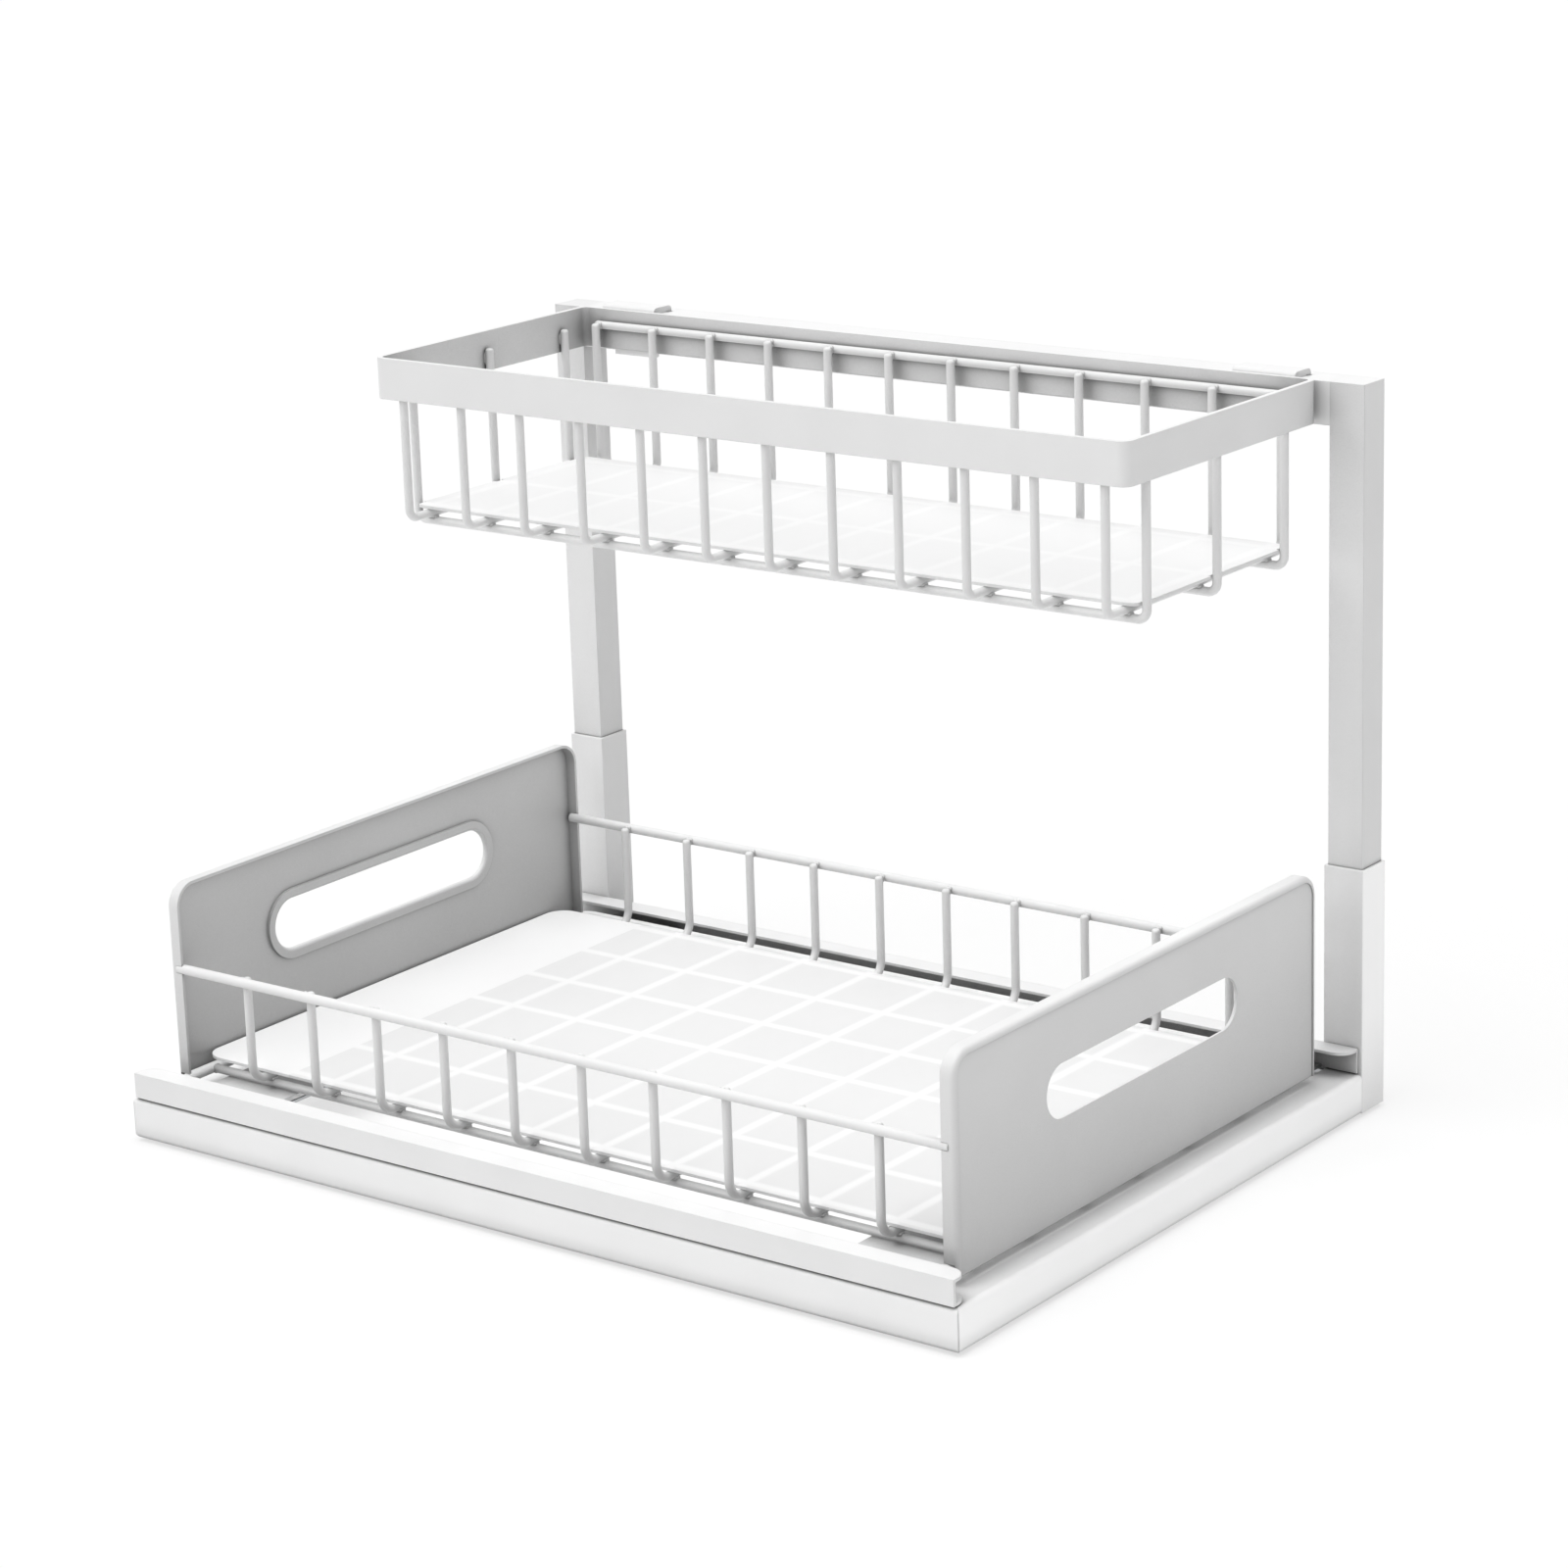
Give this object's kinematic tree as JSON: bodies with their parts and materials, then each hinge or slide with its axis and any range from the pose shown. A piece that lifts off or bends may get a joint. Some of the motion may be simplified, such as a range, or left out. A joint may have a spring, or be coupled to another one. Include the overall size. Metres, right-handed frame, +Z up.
{
  "type": "under sink organizer",
  "caption": "Two-tier under sink organizer: floor frame with a pull-out wire tray on rollers and a wire basket hooked over the crossbar of a plug-in rear frame, with liner mats.",
  "frame": {"origin": "middle of the footprint on the floor, at the underside of the feet", "axes": "+X along the width to the right as seen from the front, +Y from the front to the back, +Z up"},
  "size_m": [0.4, 0.298, 0.2965],
  "materials": {
    "white_steel": "satin white powder coat",
    "zinc_steel": "bright zinc plate",
    "roller_plastic": "moulded white plastic",
    "frosted_mat": "frosted translucent sheet with a fine grain",
    "foot_rubber": "pale adhesive pad"
  },
  "bodies": {
    "base": {"base_front_bar": "white_steel", "base_right_rail": "white_steel", "base_left_rail": "white_steel", "base_rear_bar": "white_steel", "base_feet": "foot_rubber", "left_sleeve": "white_steel", "left_post_stop": "roller_plastic", "left_track": "zinc_steel", "front_left_bracket": "zinc_steel", "front_left_axle": "zinc_steel", "right_sleeve": "white_steel", "right_post_stop": "roller_plastic", "right_track": "zinc_steel", "front_right_bracket": "zinc_steel", "front_right_axle": "zinc_steel"},
    "carriage": {"carriage_front_bar": "white_steel", "carriage_rear_bar": "white_steel", "carriage_rivets": "zinc_steel", "left_runner": "white_steel", "rear_left_bracket": "zinc_steel", "rear_left_axle": "zinc_steel", "right_runner": "white_steel", "rear_right_bracket": "zinc_steel", "rear_right_axle": "zinc_steel"},
    "tray": {"tray_ring": "white_steel", "tray_left_panel": "white_steel", "tray_right_panel": "white_steel", "tray_front_fence": "white_steel", "tray_rear_fence": "white_steel", "tray_cross_wire_1": "white_steel", "tray_cross_wire_2": "white_steel", "tray_cross_wire_3": "white_steel", "tray_cross_wire_4": "white_steel", "tray_cross_wire_5": "white_steel", "tray_cross_wire_6": "white_steel", "tray_cross_wire_7": "white_steel", "tray_floor_wires": "white_steel"},
    "lower_mat": {"lower_mat": "frosted_mat"},
    "upper_frame": {"left_post": "white_steel", "right_post": "white_steel", "crossbar": "white_steel"},
    "basket": {"basket_band": "white_steel", "basket_wires": "white_steel", "basket_rear_wire": "white_steel", "basket_cross_wire_1": "white_steel", "basket_cross_wire_2": "white_steel", "basket_cross_wire_3": "white_steel", "left_hook": "white_steel", "right_hook": "white_steel"},
    "upper_mat": {"upper_mat": "frosted_mat"},
    "front_left_roller": {"front_left_roller": "roller_plastic"},
    "front_right_roller": {"front_right_roller": "roller_plastic"},
    "rear_left_roller": {"rear_left_roller": "roller_plastic"},
    "rear_right_roller": {"rear_right_roller": "roller_plastic"}
  },
  "joints": [
    {"name": "carriage_slide", "type": "slide", "parent": "base", "child": "carriage", "axis": [0, -1, 0], "range_m": [0, 0.18]},
    {"name": "tray_lift", "type": "slide", "parent": "carriage", "child": "tray", "axis": [0, 0, 1], "range_m": [0, 0.05]},
    {"name": "lower_mat_lift", "type": "slide", "parent": "tray", "child": "lower_mat", "axis": [0, 0, 1], "range_m": [0, 0.02]},
    {"name": "frame_lift", "type": "slide", "parent": "base", "child": "upper_frame", "axis": [0, 0, 1], "range_m": [0, 0.05]},
    {"name": "basket_lift", "type": "slide", "parent": "upper_frame", "child": "basket", "axis": [0, 0, 1], "range_m": [0, 0.03]},
    {"name": "upper_mat_lift", "type": "slide", "parent": "basket", "child": "upper_mat", "axis": [0, 0, 1], "range_m": [0, 0.08]},
    {"name": "front_left_roller_spin", "type": "hinge", "parent": "base", "child": "front_left_roller", "pos_m": [-0.159, -0.124, 0.0139], "axis": [1, 0, 0], "range_deg": [0, 1880]},
    {"name": "front_right_roller_spin", "type": "hinge", "parent": "base", "child": "front_right_roller", "pos_m": [0.159, -0.124, 0.0139], "axis": [1, 0, 0], "range_deg": [0, 1880]},
    {"name": "rear_left_roller_spin", "type": "hinge", "parent": "carriage", "child": "rear_left_roller", "pos_m": [-0.1755, 0.108, 0.0095], "axis": [1, 0, 0], "range_deg": [0, 1815]},
    {"name": "rear_right_roller_spin", "type": "hinge", "parent": "carriage", "child": "rear_right_roller", "pos_m": [0.1755, 0.108, 0.0095], "axis": [1, 0, 0], "range_deg": [0, 1815]}
  ],
  "couplings": [
    {"joint": "front_left_roller_spin", "follows": "carriage_slide", "rad_per_m": 181.82},
    {"joint": "front_right_roller_spin", "follows": "carriage_slide", "rad_per_m": 181.82},
    {"joint": "rear_left_roller_spin", "follows": "carriage_slide", "rad_per_m": 175.44},
    {"joint": "rear_right_roller_spin", "follows": "carriage_slide", "rad_per_m": 175.44}
  ]
}
